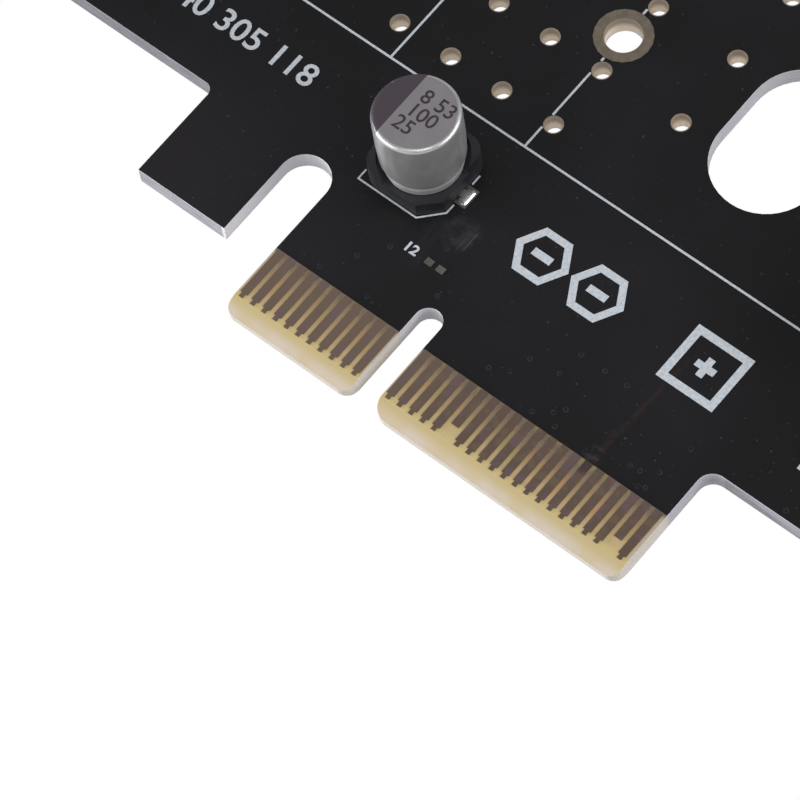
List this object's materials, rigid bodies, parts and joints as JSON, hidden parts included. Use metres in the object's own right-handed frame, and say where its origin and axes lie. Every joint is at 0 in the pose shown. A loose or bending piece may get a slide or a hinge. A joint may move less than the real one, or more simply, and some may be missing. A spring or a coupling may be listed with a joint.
{
  "type": "nvme adapter card",
  "caption": "Short expansion card that carries an M.2 module: contact edge with key notch, vented board, socket, standoff, capacitor and low-profile mounting bracket.",
  "frame": {"origin": "centre of the key notch on the contact edge, in the plane of the component face", "axes": "+X along the contact edge, away from the mounting bracket; +Y from the contact edge into the board; +Z out of the component face"},
  "size_m": [0.1065, 0.0792, 0.0184],
  "materials": {
    "solder_mask": "black solder mask over glass-fibre board, satin",
    "gold_finish": "thin dull gold plating",
    "contact_gold": "gold-plated spring contacts",
    "tinned_metal": "tinned copper, dull",
    "can_aluminium": "satin drawn aluminium",
    "base_plastic": "moulded black plastic",
    "seal_rubber": "plain",
    "socket_plastic": "moulded black plastic",
    "nickel_plate": "nickel-plated, satin",
    "bracket_steel": "zinc-plated sheet steel, satin",
    "ceramic": "fired ceramic"
  },
  "bodies": {
    "root": {"circuit_board": "solder_mask", "front_contacts": "gold_finish", "back_contacts": "gold_finish", "standoff_hole_rings": "gold_finish", "capacitor_can": "can_aluminium", "capacitor_base": "base_plastic", "capacitor_seal": "seal_rubber", "capacitor_leads": "tinned_metal", "capacitor_lands": "tinned_metal", "resistor_lands": "tinned_metal", "socket_housing": "socket_plastic", "socket_rear_contacts": "contact_gold", "socket_front_contacts": "contact_gold", "socket_lands": "tinned_metal", "socket_hold_downs": "tinned_metal", "module_standoff": "nickel_plate", "standoff_nut": "nickel_plate", "module_screw": "nickel_plate", "bracket_screws": "nickel_plate", "mounting_bracket": "bracket_steel", "chip_capacitor_bodies": "ceramic", "chip_capacitor_terminals": "tinned_metal", "chip_capacitor_lands": "tinned_metal"}
  },
  "joints": []
}
